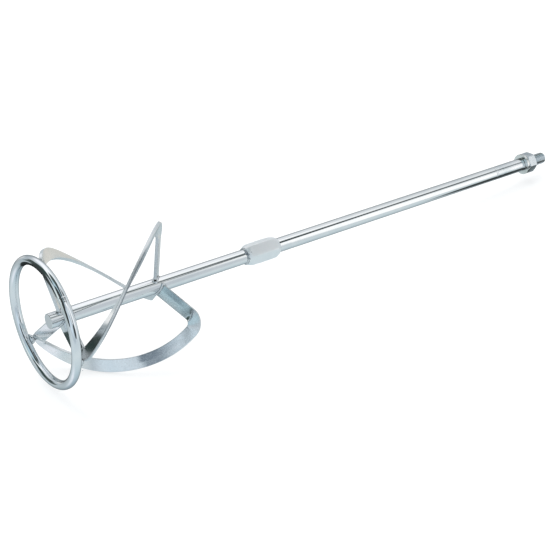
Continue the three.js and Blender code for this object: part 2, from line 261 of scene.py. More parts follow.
def hexagon_angles(turn):
    """Angles that crowd together at the hexagon's corners."""
    share = np.arange(SIDE_STEPS) / SIDE_STEPS * 2 - 1
    eased = np.sign(share) * (1 - (1 - np.abs(share)) ** 2.2)
    one_side = eased * math.pi / 6
    return np.concatenate([one_side + math.radians(turn + 60 * side) for side in range(6)])


def nut_heights(bottom, top):
    """Heights of a nut's outer rows, close together near its ends."""
    crowded = np.concatenate([np.linspace(0, 1, 8) ** 1.5 * 0.5, np.arange(0.65, END_REACH, 0.18)])
    near = crowded[crowded < (top - bottom) / 2]
    middle = np.array([])
    if top - bottom > 2 * END_REACH + 0.8:
        middle = np.linspace(bottom + END_REACH + 0.1, top - END_REACH - 0.1, 4)
    return np.unique(np.round(np.concatenate([bottom + near, middle, top - near]), 4))


def nut_bore(bottom, top, angles):
    """Rows of a nut's threaded bore, from its upper mouth to its lower one."""
    heights = np.arange(top - 0.2, bottom + 0.15, -BORE_STEP)
    depth = thread_depth(heights[:, None], angles[None, :])
    radii = THREAD_RADIUS + THREAD_CLEARANCE - (THREAD_RADIUS - THREAD_ROOT) * depth
    from_end = np.minimum(heights - bottom, top - heights)[:, None]
    radii = np.maximum(radii, NUT_MOUTH - from_end * 0.8)
    rows = [round_grid([[NUT_MOUTH + 0.2], [NUT_MOUTH]], [top, top - 0.1], angles)]
    rows.append(round_grid(radii, heights, angles))
    rows.append(round_grid([[NUT_MOUTH], [NUT_MOUTH + 0.2]], [bottom + 0.1, bottom], angles))
    return rows


def hex_nut(name, bottom, top, end, turn, softness=46.0, sharpness=70.0):
    """A hexagonal nut with chamfered ends and a threaded bore. A low softness rounds the chamfer
    into the flats, and a low sharpness rounds the hexagon's corners."""
    end_radius, chamfer = end
    angles = hexagon_angles(turn)
    outline = hexagon_radii(angles, turn, sharpness)
    heights = nut_heights(bottom, top)
    rise = np.maximum(np.minimum(heights - bottom, top - heights), 0)[:, None]
    cone = end_radius + 0.02 + rise / math.tan(math.radians(chamfer))
    rounding = end_radius - 0.35 + np.sqrt(rise) * 1.2 + rise
    envelope = np.minimum(cone, rounding)
    outer = (outline[None, :] ** -softness + envelope ** -softness) ** (-1 / softness)
    rows = [round_grid(outer, heights, angles)] + nut_bore(bottom, top, angles)
    return skin(name, np.concatenate(rows), rows_close=True)


# ---- the wing's path


def cylindrical(radius, degrees, height):
    angle = math.radians(degrees)
    return Vector((radius * math.cos(angle), radius * math.sin(angle), height))


def turn_at(share):
    """The sweep's turn about the shaft, in degrees, at a share of its climb."""
    climb = TOP_BEND[1] - RING_BEND[1]
    first = -math.degrees(climb * math.tan(math.radians(LEAN_AT_RING)) / RING_BEND[0])
    last = -math.degrees(climb * math.tan(math.radians(LEAN_AT_TOP)) / TOP_BEND[0])
    square = share * share
    cube = square * share
    eased = 3 * square - 2 * cube
    return eased * WING_TURN + (cube - 2 * square + share) * first + (cube - square) * last


def sweep_point(share):
    bulge = WING_BULGE * 4 * share * (1 - share)
    radius = RING_BEND[0] + (TOP_BEND[0] - RING_BEND[0]) * share + bulge
    height = RING_BEND[1] + (TOP_BEND[1] - RING_BEND[1]) * share
    return cylindrical(radius, turn_at(share), height)


def sweep_normal(share):
    """The flat face's direction: square to the path and to the shaft, then rolled about the path."""
    step = 1e-3
    along = (sweep_point(share + step) - sweep_point(share - step)).normalized()
    outward = sweep_point(share)
    outward.z = 0
    ends = ROLL_AT_RING + (ROLL_AT_TOP - ROLL_AT_RING) * share
    middle = ROLL_AT_MIDDLE - (ROLL_AT_RING + ROLL_AT_TOP) / 2
    roll = math.radians(ends + middle * 4 * share * (1 - share))
    return Matrix.Rotation(roll, 3, along) @ along.cross(outward.normalized()).normalized()


def bend_points(before, corner, after):
    """Points of a curve that rounds a corner between two legs."""
    first = before.lerp(corner, BEND_HANDLE)
    second = after.lerp(corner, BEND_HANDLE)
    points = []
    for i in range(BEND_STEPS + 1):
        t = i / BEND_STEPS
        u = 1 - t
        points.append(before * u ** 3 + first * 3 * u * u * t + second * 3 * u * t * t + after * t ** 3)
    return points


def arm_end(bend, shaft_height, degrees):
    """Where an arm of the bar ends at the shaft, on its line to a bend."""
    slope = (bend[1] - shaft_height) / (bend[0] - SHAFT_RADIUS / 2)
    height = shaft_height + slope * (WING_END_RADIUS - SHAFT_RADIUS / 2)
    return cylindrical(WING_END_RADIUS, degrees, height)


def wing_stations():
    """Centreline points of wing 1 with their share of the sweep, from the foot to the top arm."""
    foot = arm_end(RING_BEND, FOOT_HEIGHT, 0)
    arm = arm_end(TOP_BEND, TOP_HEIGHT, WING_TURN)
    ring_corner = sweep_point(0)
    top_corner = sweep_point(1)
    length = (ring_corner - sweep_point(0.1)).length * 10
    first = RING_BEND_REACH / length
    last = 1 - TOP_BEND_REACH / length
    leg_in = ring_corner + (foot - ring_corner).normalized() * RING_BEND_REACH
    leg_out = top_corner + (arm - top_corner).normalized() * TOP_BEND_REACH
    stations = [(foot.lerp(leg_in, i / ARM_STEPS), 0.0) for i in range(ARM_STEPS)]
    for i, point in enumerate(bend_points(leg_in, ring_corner, sweep_point(first))):
        stations.append((point, first * i / BEND_STEPS))
    for i in range(1, SWEEP_STEPS):
        share = first + (last - first) * i / SWEEP_STEPS
        stations.append((sweep_point(share), share))
    for i, point in enumerate(bend_points(sweep_point(last), top_corner, leg_out)):
        stations.append((point, last + (1 - last) * i / BEND_STEPS))
    stations += [(leg_out.lerp(arm, i / ARM_STEPS), 1.0) for i in range(1, ARM_STEPS + 1)]
    return stations


def wing_frames():
    """The bar's own axes at every station: its point, then along, across and through the bar."""
    stations = wing_stations()
    frames = []
    for i, (point, share) in enumerate(stations):
        before = stations[max(i - 1, 0)][0]
        after = stations[min(i + 1, len(stations) - 1)][0]
        along = (after - before).normalized()
        normal = sweep_normal(share)
        through = (normal - along * normal.dot(along)).normalized()
        frames.append((point, along, through.cross(along), through))
    return frames


WING_FRAMES = wing_frames()


def bar_outline(half_width, half_thickness, edge, steps=5, across_steps=8):
    """The flat bar's section, with rounded long edges."""
    outline = []
    corners = ((1, 1, 0), (-1, 1, 90), (-1, -1, 180), (1, -1, 270))
    for side, face, start in corners:
        x = side * (half_width - edge)
        y = face * (half_thickness - edge)
        for i in range(steps + 1):
            angle = math.radians(start + 90 * i / steps)
            outline.append((x + edge * math.cos(angle), y + edge * math.sin(angle)))
        on_face = start in (0, 180)
        shares = [i / across_steps for i in range(1, across_steps)] if on_face else [0.5]
        for share in [0.02] + shares + [0.98]:
            if on_face:
                outline.append((x * (1 - 2 * share), face * half_thickness))
            else:
                outline.append((side * half_width, y * (1 - 2 * share)))
    return outline


# Dark patches on the wings, partly smoky tarnish in the plate and partly painted shade and dark
# reflections: wing, then start, full from, full to and end along the bar from the foot, least and
# greatest place across the bar, least and greatest place through it, and strength.
SMOKE_AND_SHADE_PATCHES = (
    (1, 40, 56, 84, 100, -9, 9, -9, -1, 0.35),
    (1, 66, 84, 170, 182, 5.9, 9, 0.9, 9, 0.95),
    (1, 80, 100, 170, 182, -9, 9, 1.6, 9, 0.8),
    (1, 246, 256, 286, 292, -6.6, -5.2, 0.9, 9, 0.8),
    (2, 161, 167, 182, 214, -9, 1, -9, -1, 0.9),
    (2, 164, 172, 184, 208, -1, 9, -9, -1, 0.75),
    (2, 256, 266, 280, 300, 1.5, 9, -9, 9, 0.55),
)


def smoke_and_shade_at(number, run, across, through):
    """How dark a wing's plate is painted at one point, from 0 to 1: smoky tarnish and painted shade."""
    worst = 0.0
    for wing, start, full_from, full_to, end, low, high, near, far, strength in SMOKE_AND_SHADE_PATCHES:
        in_patch = start < run < end and low <= across <= high and near <= through <= far
        if wing != number or not in_patch:
            continue
        rise = min(1.0, (run - start) / (full_from - start))
        fall = min(1.0, (end - run) / (end - full_to))
        worst = max(worst, strength * min(rise, fall))
    return worst


def wing_bar(number):
    """One wing: a flat bar swept along its path, with its sawn ends slightly rounded.
    Two attributes tell its material where the plate has smoky tarnish and painted shade, and where the
    sheared edges are."""
    plain = bar_outline(BAR_WIDTH / 2, BAR_THICKNESS / 2, BAR_EDGE)
    body = []
    for point, along, across, through in WING_FRAMES[1:-1]:
        body.append([point + across * w + through * t for w, t in plain])
    ends = []
    for frame_at_end, direction in ((WING_FRAMES[0], 1), (WING_FRAMES[-1], -1)):
        point, along, across, through = frame_at_end
        rows = []
        for inset, back in ((1.5, 0.0), (0.35, 0.0), (0.1, 0.12), (0.0, 0.35)):
            edge = max(BAR_EDGE - inset, 0.02)
            small = bar_outline(BAR_WIDTH / 2 - inset, BAR_THICKNESS / 2 - inset, edge)
            rows.append([point + along * back * direction + across * w + through * t for w, t in small])
        ends.append(rows)
    grid = np.array(ends[0] + body + ends[1][::-1], float)
    bar = skin(f"wing_{number}_bar", grid, capped=True)
    centres = grid.mean(axis=1)
    runs = np.concatenate([[0], np.cumsum(np.linalg.norm(np.diff(centres, axis=0), axis=1))])
    # The patch values hold painted shade and dark reflections, with some smoky tarnish.
    smoke_and_shade = [smoke_and_shade_at(number, run, w, t) for run in runs for w, t in plain]
    sheared = [1.0 if abs(w) > BAR_WIDTH / 2 - 0.45 else 0.0 for run in runs for w, t in plain]
    bar.data.attributes.new("smoke_and_shade", "FLOAT", "POINT").data.foreach_set("value", smoke_and_shade)
    bar.data.attributes.new("sheared", "FLOAT", "POINT").data.foreach_set("value", sheared)
    return bar


# ---- weld beads


def crown_at(share, height):
    """How far a ground-down weld stands out, from one edge at -1 to the other at 1."""
    return height * (1 - share * share) - 0.03 * abs(share) ** 6


def lumpiness(point, scale, seed):
    """Smooth noise between about -1 and 1."""
    return noise.noise(Vector(point) * scale + Vector((seed, seed * 1.7, -seed)))


def bead_along(name, path, normals, radius, seed):
    """A closed weld bead along a looped path: a rippled, lumpy tube pressed against the work."""
    count = len(path)
    lengths = [0.0]
    for i in range(1, count):
        lengths.append(lengths[-1] + (path[i] - path[i - 1]).length)
    rows = []
    for i in range(count):
        along = (path[(i + 1) % count] - path[i - 1]).normalized()
        normal = (normals[i] - along * normals[i].dot(along)).normalized()
        side = along.cross(normal)
        wave = abs(math.sin(lengths[i] * math.pi / 1.9 + lumpiness(path[i], 0.3, seed)))
        size = radius * (1 + 0.28 * lumpiness(path[i], 0.22, seed + 3) + BEAD_RIPPLE * (wave - 0.5))
        row = []
        for angle in even_angles(BEAD_SIDES):
            out = normal * math.cos(angle) * BEAD_FLATNESS + side * math.sin(angle)
            rough = 1 + 0.12 * lumpiness(path[i] + out * radius, 0.9, seed + 9)
            row.append(path[i] + out * size * rough)
        rows.append(row)
    return skin(name, rows, rows_close=True)


def shaft_seam(at_foot):
    """Where the wing's bar meets the shaft's round side, with the outward direction at each point."""
    point, along, across, through = WING_FRAMES[0] if at_foot else WING_FRAMES[-1]
    inward = -along if at_foot else along
    outline = bar_outline(BAR_WIDTH / 2, BAR_THICKNESS / 2, BAR_EDGE, steps=8, across_steps=22)
    path = []
    normals = []
    for w, t in outline:
        start = point - inward * SEAM_START + across * w + through * t
        a = inward.x ** 2 + inward.y ** 2
        b = 2 * (start.x * inward.x + start.y * inward.y)
        c = start.x ** 2 + start.y ** 2 - SHAFT_RADIUS ** 2
        root = max(b * b - 4 * a * c, 0.0)
        hit = start + inward * ((-b - math.sqrt(root)) / (2 * a))
        radial = Vector((hit.x, hit.y, 0)).normalized()
        outward = (across * w / BAR_WIDTH + through * t / BAR_THICKNESS).normalized()
        path.append(hit + radial * 0.2 + outward * 0.25)
        normals.append((radial + outward).normalized())
    return path, normals


def merged(name, things):
    """Joins several meshes into one object."""
    points = []
    faces = []
    for thing in things:
        first = len(points)
        points += [v.co.copy() / MM for v in thing.data.vertices]
        faces += [tuple(first + v for v in p.vertices) for p in thing.data.polygons]
        bpy.data.objects.remove(thing)
    return add_mesh(name, points, faces)


def lump(name, centre, axes, sizes, seed, roughness=0.16):
    """A blob of weld metal: an oval with dents and ripples."""
    rows = []
    for i in range(LUMP_RINGS + 1):
        polar = math.pi * (i + 0.02) / (LUMP_RINGS + 0.04)
        level = math.sin(polar)
        row = []
        for angle in even_angles(LUMP_SIDES):
            unit = Vector((level * math.cos(angle), level * math.sin(angle), -math.cos(polar)))
            dents = lumpiness(unit, 1.5, seed) + 0.5 * lumpiness(unit, 3.7, seed + 5)
            local = [unit[j] * sizes[j] * (1 + roughness * dents) for j in range(3)]
            row.append(centre + axes[0] * local[0] + axes[1] * local[1] + axes[2] * local[2])
        rows.append(row)
    return skin(name, rows, capped=True)


def spatter(centre, spread, count, seed):
    """Droplets of weld metal thrown round a bead, as low domes."""
    drops = []
    for i in range(count):
        offset = Vector([lumpiness((i * 3.1, seed, j * 7.7), 1.0, seed + j) for j in range(3)])
        size = 0.35 + 0.3 * abs(lumpiness((i, 2.0, seed), 1.3, seed))
        place = centre + offset * spread * 2
        drops.append(lump(f"drop_{i}", place, WORLD_AXES, (size, size, size), seed + i))
    return drops


# ---- pieces of the stirrer


def ring_section(degrees, radius):
    """One row of points round the bent bar, at an angle round the shaft."""
    centre = cylindrical(RING_RADIUS, degrees, RING_Z)
    out = cylindrical(1, degrees, 0)
    row = []
    for around in even_angles(RING_SIDES):
        row.append(centre + (out * math.cos(around) - AXIS * math.sin(around)) * radius)
    return row


def bent_ring():
    half = math.degrees((RING_BUTT_WIDTH / 2) / RING_RADIUS)
    start = RING_BUTT_ANGLE + half
    sweep = 360 - 2 * half
    edge = math.degrees(RING_END_EDGE / RING_RADIUS)
    steps = 300
    ends = ((0, 2.0), (0, RING_BAR_RADIUS - RING_END_EDGE), (edge * 0.3, RING_BAR_RADIUS - 0.06))
    rows = [ring_section(start + u, radius) for u, radius in ends]
    for i in range(steps + 1):
        rows.append(ring_section(start + edge + (sweep - 2 * edge) * i / steps, RING_BAR_RADIUS))
    rows += [ring_section(start + sweep - u, radius) for u, radius in ends[::-1]]
    return skin("bent_ring_bar", rows, capped=True)


def ring_closing_bead():
    """The ground-down weld that closes the ring."""
    half = math.degrees((RING_BUTT_WIDTH / 2 + 0.25) / RING_RADIUS)
    steps = 24
    rows = []
    for i in range(steps + 1):
        share = i / steps * 2 - 1
        radius = RING_BAR_RADIUS + crown_at(share, 0.015)
        row = ring_section(RING_BUTT_ANGLE + half * share, radius)
        centre = sum(row, Vector()) / len(row)
        rows.append([p + (p - centre).normalized() * 0.01 * lumpiness(p, 0.8, 4) for p in row])
    return skin("ring_closing_bead", rows, capped=True)


def lower_shaft_bar():
    top = COUPLING_BASE - THREAD_START
    plain = plain_rows([(0, 0), (SHAFT_RADIUS, 0), (SHAFT_RADIUS, top), (THREAD_END, top)], 0.45)
    thread = thread_rows(top + 0.1, LOWER_THREAD_TOP)
    return skin("lower_shaft_bar", np.concatenate([plain, thread]), capped=True)


def coupling_body():
    return hex_nut("coupling_nut_body", COUPLING_BASE, COUPLING_TOP, COUPLING_END, 0.0, 15.0, 34.0)


# Lumps of the coupling's weld: angle round the shaft, height over the nut's foot and half-width.
COUPLING_LUMPS = (
    (-66, -1.6, 1.5),
    (-50, 0.6, 1.5),
    (-36, 2.2, 1.2),
    (-58, 3.6, 1.1),
    (-18, 0.2, 1.3),
    (-92, 0.4, 1.5),
    (70, 0.8, 1.4),
    (150, -0.4, 1.5),
)


def coupling_bead():
    """The fillet between the lower shaft and the long nut, with lumps that climb onto its chamfer.
    An attribute tells its material where it is burnt."""
    path = []
    normals = []
    for angle in even_angles(150):
        out = Vector((math.cos(angle), math.sin(angle), 0))
        wander = 0.5 * lumpiness(out * 3, 1.0, 2)
        path.append(out * (SHAFT_RADIUS + 0.2) + AXIS * (COUPLING_BASE - 0.7 + wander))
        normals.append((out - AXIS * 0.8).normalized())
    parts = [bead_along("coupling_bead_ring", path, normals, 1.0, 11)]
    for i, (degrees, height, size) in enumerate(COUPLING_LUMPS):
        centre = cylindrical(8.9 + 0.2 * height, degrees, COUPLING_BASE + height)
        out = Vector((centre.x, centre.y, 0)).normalized()
        sizes = (1.25, size, 1.25 * size)
        parts.append(lump(f"run_{i}", centre, (out, AXIS.cross(out), AXIS), sizes, 30 + i, 0.3))
    bead = merged("coupling_bead", parts)
    burnt = []
    for vertex in bead.data.vertices:
        place = vertex.co / MM
        facing = Vector((place.x, place.y, 0)).normalized().dot(cylindrical(1, -52, 0))
        streak = 0.5 + 1.6 * lumpiness(place, 0.75, 3)
        burnt.append(min(1.0, max(0.0, (facing - 0.8) * 9)) * min(1.0, max(0.0, streak)))
    bead.data.attributes.new("smoke_and_shade", "FLOAT", "POINT").data.foreach_set("value", burnt)
    return bead


def wing_end_bead(name, at_foot, seed):
    path, normals = shaft_seam(at_foot)
    return bead_along(name, path, normals, 1.25, seed)


# Lumps of a wing's weld to the ring: offset from the weld's middle and half-widths.
RING_WELD_LUMPS = (
    ((0, 0, 0), (3.0, 4.3, 3.4)),
    ((0.4, 3.3, -1.2), (2.2, 2.2, 1.9)),
    ((0.2, -3.2, -0.6), (2.1, 2.3, 2.2)),
)


def wing_ring_bead(name, seed):
    """The lumps between a wing's first bend and the ring, with a few droplets round them."""
    centre = cylindrical(62.3, 2.5, 1.6)
    parts = []
    for i, (offset, sizes) in enumerate(RING_WELD_LUMPS):
        parts.append(lump(f"lump_{i}", centre + Vector(offset), WORLD_AXES, sizes, seed + i))
    parts += spatter(centre + Vector((1.0, 0, -2.4)), 5.0, 7, seed)
    return merged(name, parts)


# ---- pieces of the extension


def extension_stud_bar():
    seat = EXTENSION_START - THREAD_START
    thread = thread_rows(STUD_LOW, seat)
    seat += 0.1
    plug = plain_rows([(THREAD_END, seat), (PLUG_RADIUS, seat), (PLUG_RADIUS, STUD_HIGH), (0, STUD_HIGH)])
    return skin("extension_stud_bar", np.concatenate([thread, plug]), capped=True)


def upper_shaft_tube():
    return turned_tube("upper_shaft_tube", [
        (TUBE_BORE_RADIUS, EXTENSION_START),
        (SHAFT_RADIUS, EXTENSION_START),
        (SHAFT_RADIUS, TUBE_TOP),
        (TUBE_BORE_RADIUS, TUBE_TOP),
    ], 0.4)


def spindle_bead():
    """The ground-down weld ring under the spindle end."""
    steps = 16
    low = SPINDLE_WELD_LOW - 0.2
    high = SPINDLE_WELD_HIGH + 0.2
    angles = even_angles(160)
    inner = [[TUBE_BORE_RADIUS + 0.5]]
    rows = [round_grid(inner, [low], angles)]
    for i in range(steps + 1):
        share = i / steps * 2 - 1
        rough = [0.02 * lumpiness((8 * math.cos(a), 8 * math.sin(a), share), 1, 6) for a in angles]
        height = (low + high) / 2 + (high - low) / 2 * share
        radii = SHAFT_RADIUS + crown_at(share, 0.04) + np.array([rough])
        rows.append(round_grid(radii, [height], angles))
    rows.append(round_grid(inner, [high], angles))
    return skin("spindle_bead", np.concatenate(rows), rows_close=True)


def spindle_end_bar():
    start = SPINDLE_WELD_HIGH
    body = plain_rows([
        (0, SPINDLE_LOW),
        (PLUG_RADIUS, SPINDLE_LOW),
        (PLUG_RADIUS, start),
        (SHAFT_RADIUS, start),
        (SHAFT_RADIUS, SHOULDER),
        (THREAD_END, SHOULDER),
        (THREAD_END, SHOULDER + 1.8),
    ], 0.3)
    thread = thread_rows(SHOULDER + 1.9, STUB_END, lead=1.6)
    return skin("spindle_end_bar", np.concatenate([body, thread]), capped=True)


# ---- lock washer and lock nut


def lock_washer_coil():
    """A split spring washer: square-edged bar bent to nearly one turn, with a slanting cut."""
    steps = 220
    inner, outer = WASHER_RADII
    thickness = WASHER_TOP - WASHER_BASE - WASHER_SPREAD
    rows = []
    for i in range(steps + 1):
        share = i / steps
        degrees = WASHER_START - WASHER_TURN * share
        low = WASHER_BASE + WASHER_SPREAD * share
        nearest_end = min(share, 1 - share) * WASHER_TURN
        inset = 0.25 * max(0.0, 1 - nearest_end / 1.6)
        section = bar_outline((outer - inner) / 2 - inset, thickness / 2 - inset, 0.35)
        row = []
        for w, t in section:
            height = low + thickness / 2 + t
            lean = WASHER_SLANT * (t / thickness + 0.5)
            row.append(cylindrical((inner + outer) / 2 - w, degrees - lean, height))
        rows.append(row[::-1])
    return skin("lock_washer_coil", rows, capped=True)


def lock_nut_body():
    return hex_nut("lock_nut_body", NUT_BASE, NUT_TOP, LOCK_NUT_END, NUT_TURN)


# ---- zinc-plate materials

# Colour of the dark patches: smoky tarnish and soot, and on the wings also painted shade.
SMOKE_AND_SHADE_COLOUR = (0.20, 0.235, 0.27, 1.0)
# Colour of the painted shade in corners and creases.
CORNER_SHADE_COLOUR = (0.045, 0.05, 0.05, 1.0)
# Drawing lines are fine round the shaft and long along it.
DRAWN_SCALE = (900.0, 900.0, 40.0)


def new_material(name):
    material = bpy.data.materials.new(name)
    material.use_nodes = True
    material.node_tree.nodes.clear()
    return material, material.node_tree


def add_node(tree, kind, output, inputs=None, **settings):
    """Adds a shader node, sets or links its inputs, and gives one of its outputs."""
    node = tree.nodes.new("ShaderNode" + kind)
    for key, value in settings.items():
        setattr(node, key, value)
    for key, value in (inputs or {}).items():
        if isinstance(value, bpy.types.NodeSocket):
            tree.links.new(value, node.inputs[key])
        else:
            node.inputs[key].default_value = value
    return node.outputs[output]


def use_shader(tree, shader, kind="Material"):
    """Ends a material or world with the given shader."""
    tree.links.new(shader, tree.nodes.new("ShaderNodeOutput" + kind).inputs["Surface"])


def noise_node(tree, vector, scale, detail=3.0, roughness=0.55, distortion=0.0):
    return add_node(tree, "TexNoise", "Fac", {
        "Vector": vector,
        "Scale": scale,
        "Detail": detail,
        "Roughness": roughness,
        "Distortion": distortion,
    })


def ramp_node(tree, factor, stops):
    colour = add_node(tree, "ValToRGB", "Color", {"Fac": factor})
    ramp = colour.node.color_ramp
    while len(ramp.elements) < len(stops):
        ramp.elements.new(0.5)
    for element, (position, value) in zip(ramp.elements, stops):
        element.position = position
        element.color = (*value, 1.0)
    return colour


def range_node(tree, value, low, high, to_low, to_high, curve="LINEAR"):
    inputs = {"Value": value, "From Min": low, "From Max": high, "To Min": to_low, "To Max": to_high}
    return add_node(tree, "MapRange", "Result", inputs, interpolation_type=curve)


def maths_node(tree, operation, a, b=0.0):
    return add_node(tree, "Math", 0, {0: a, 1: b}, operation=operation)


def mix_colour(tree, factor, a, b, blend="MIX"):
    inputs = {"Factor": factor, "A": a, "B": b}
    return add_node(tree, "Mix", "Result", inputs, data_type="RGBA", blend_type=blend)


def mix_shader(tree, factor, a, b):
    return add_node(tree, "MixShader", "Shader", {"Fac": factor, 1: a, 2: b})


def bump_node(tree, height, distance, normal=None):
    """Bumps whose full height is a distance in millimetres."""
    inputs = {"Height": height, "Distance": distance * MM, "Strength": 1.0}
    if normal is not None:
        inputs["Normal"] = normal
    return add_node(tree, "Bump", "Normal", inputs)


def attribute_node(tree, name):
    return add_node(tree, "Attribute", "Fac", attribute_name=name)


def zinc(name, light, dark, roughness, grain, waviness, drawn=0.0, mottle=0.0, corner_shade=0.35, rim=0.37):
    """Bright zinc plate: two tints, uneven gloss, fine grain, slow waves, drawing lines and painted
    shade in corners and creases, found by ambient occlusion. Meshes with a patch attribute get dark
    patches (smoky tarnish and painted shade), and meshes with a sheared attribute get rougher edges."""
    material, tree = new_material(name)
    place = add_node(tree, "TexCoord", "Object")
    slow = noise_node(tree, place, 45.0, 3.0, 0.55, 0.6)
    patches = noise_node(tree, place, 160.0, 4.0, 0.6, 0.3)
    speckle = noise_node(tree, place, 1500.0, 3.0, 0.7)
    colour = ramp_node(tree, slow, [(0.32, dark), (0.68, light)])
    spotty = range_node(tree, speckle, 0.35, 0.65, 1.0 - 0.3 * mottle, 1.0 + 0.12 * mottle)
    colour = mix_colour(tree, 1.0, colour, spotty, "MULTIPLY")
    # Dark patches from the attribute: smoky tarnish and soot, and painted shade and dark reflections on
    # the wings.
    patch_darkness = range_node(tree, speckle, 0.4, 0.62, 1.25, 0.6)
    patch_darkness = maths_node(tree, "MULTIPLY", attribute_node(tree, "smoke_and_shade"), patch_darkness)
    colour = mix_colour(tree, patch_darkness, colour, SMOKE_AND_SHADE_COLOUR)
    # Painted shade: darker in corners and creases, where ambient occlusion finds them.
    corners = add_node(tree, "AmbientOcclusion", "AO", {"Distance": 1.8 * MM}, samples=6)
    shade = range_node(tree, corners, 0.25, 0.8, 1.0, 0.0)
    corner_shading = maths_node(tree, "MULTIPLY", shade, corner_shade)
    colour = mix_colour(tree, corner_shading, colour, CORNER_SHADE_COLOUR)
    gloss = range_node(tree, patches, 0.3, 0.7, roughness * 0.75, roughness * 1.3)
    gloss = maths_node(tree, "ADD", gloss, maths_node(tree, "MULTIPLY", speckle, 0.12 * mottle))
    sheared = maths_node(tree, "MULTIPLY", attribute_node(tree, "sheared"), 0.22)
    gloss = maths_node(tree, "ADD", gloss, sheared)
    normal = bump_node(tree, patches, waviness)
    normal = bump_node(tree, speckle, grain, normal)
    if drawn:
        long_place = add_node(tree, "Mapping", "Vector", {"Vector": place, "Scale": DRAWN_SCALE})
        normal = bump_node(tree, noise_node(tree, long_place, 1.0), drawn, normal)
    use_shader(tree, add_node(tree, "BsdfPrincipled", "BSDF", {
        "Metallic": 1.0,
        "Specular Tint": (rim, rim, rim, 1.0),
        "Base Color": colour,
        "Roughness": gloss,
        "Normal": normal,
    }))
    return material


def plated_round():
    """Drawn round bar and tube."""
    return zinc("plated_round_zinc", (0.87, 0.88, 0.88), (0.80, 0.83, 0.84), 0.075, 0.002, 0.02,
                drawn=0.004)


def plated_ring():
    """The bent round bar of the ring, a little bluer."""
    return zinc("plated_ring_zinc", (0.86, 0.88, 0.89), (0.78, 0.83, 0.86), 0.06, 0.002, 0.025)


def plated_bar():
    """The flat bar of the wings, hot-rolled under its plate, so it mirrors less and is mottled."""
    return zinc("plated_bar_zinc", (0.87, 0.88, 0.88), (0.80, 0.84, 0.85), 0.11, 0.004, 0.02,
                mottle=0.6, rim=0.8)


def plated_spindle():
    """The turned spindle end, cloudier than the tube."""
    return zinc("plated_spindle_zinc", (0.90, 0.91, 0.92), (0.72, 0.77, 0.79), 0.10, 0.004, 0.04,
                mottle=0.5, corner_shade=0.1)


def plated_nut():
    """The lock nut's plate, duller than the shaft's."""
    return zinc("plated_nut_zinc", (0.85, 0.87, 0.88), (0.72, 0.77, 0.80), 0.2, 0.005, 0.03,
                mottle=0.6, corner_shade=0.6)


def plated_coupling():
    """The long coupling nut: pale plate with a soft sheen."""
    return zinc("plated_coupling_zinc", (0.97, 0.98, 0.98), (0.91, 0.93, 0.93), 0.5, 0.0005, 0.02,
                mottle=0.1, corner_shade=0.8, rim=0.9)


def plated_thread():
    """Cut threads, with painted shade in the roots."""
    return zinc("plated_thread_zinc", (0.84, 0.85, 0.82), (0.70, 0.73, 0.72), 0.2, 0.004, 0.01,
                corner_shade=0.6)


def washer_steel():
    """The lock washer's plate."""
    return zinc("washer_zinc", (0.87, 0.88, 0.85), (0.74, 0.77, 0.77), 0.18, 0.004, 0.02,
                mottle=0.5, corner_shade=0.7)


def weld_metal():
    """Plated weld beads: lumpy, with painted shade in their creases."""
    return zinc("weld_zinc", (0.86, 0.88, 0.89), (0.66, 0.71, 0.73), 0.18, 0.012, 0.05,
                mottle=0.6, corner_shade=0.75)


# ---- building the paddle


def finish_piece(thing, body, nodes, material):
    """Gives a piece its material, lets it ride on its CAD body and hides the CAD nodes it stands for."""
    thing.data.materials.clear()
    thing.data.materials.append(material)
    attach(thing, body)
    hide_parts(*nodes)


def build_stirrer(materials):
    finish_piece(bent_ring(), "stirrer", ["ring"], materials["ring"])
    finish_piece(ring_closing_bead(), "stirrer", ["ring_butt_weld"], materials["ring"])
    finish_piece(lower_shaft_bar(), "stirrer", ["lower_shaft"], materials["round"])
    finish_piece(coupling_body(), "stirrer", ["coupling_nut"], materials["coupling"])
    finish_piece(coupling_bead(), "stirrer", ["coupling_weld"], materials["weld"])


def build_wing(number, materials):
    """A wing with its three welds, turned to its place round the shaft."""
    pieces = (
        ("wing", wing_bar(number), "plated_bar", "bar"),
        ("foot_weld", wing_end_bead(f"foot_bead_{number}", True, 20 + number), "weld_bead", "weld"),
        ("ring_weld", wing_ring_bead(f"ring_bead_{number}", 40 + 7 * number), "weld_bead", "weld"),
        ("top_weld", wing_end_bead(f"top_bead_{number}", False, 60 + number), "weld_bead", "weld"),
    )
    turn = Matrix.Rotation(math.radians(120.0 * (number - 1)), 4, "Z")
    for node, thing, slot, material in pieces:
        thing.data.transform(turn)
        finish_piece(thing, "stirrer", [f"{node}_{number}"], materials[material])


def build_extension(materials):
    finish_piece(extension_stud_bar(), "extension", ["extension_stud"], materials["thread"])
    finish_piece(upper_shaft_tube(), "extension", ["upper_shaft"], materials["round"])
    finish_piece(spindle_bead(), "extension", ["spindle_weld"], materials["round"])
    finish_piece(spindle_end_bar(), "extension", ["spindle_end"], materials["spindle"])


def build_hardware(materials):
    finish_piece(lock_washer_coil(), "washer", ["lock_washer"], materials["washer"])
    finish_piece(lock_nut_body(), "nut", ["lock_nut"], materials["nut"])


def build_paddle():
    materials = {
        "round": plated_round(),
        "ring": plated_ring(),
        "bar": plated_bar(),
        "spindle": plated_spindle(),
        "nut": plated_nut(),
        "coupling": plated_coupling(),
        "thread": plated_thread(),
        "washer": washer_steel(),
        "weld": weld_metal(),
    }
    build_stirrer(materials)
    for number in (1, 2, 3):
        build_wing(number, materials)
    build_extension(materials)
    build_hardware(materials)


# ---- camera, floor and light, with places in metres

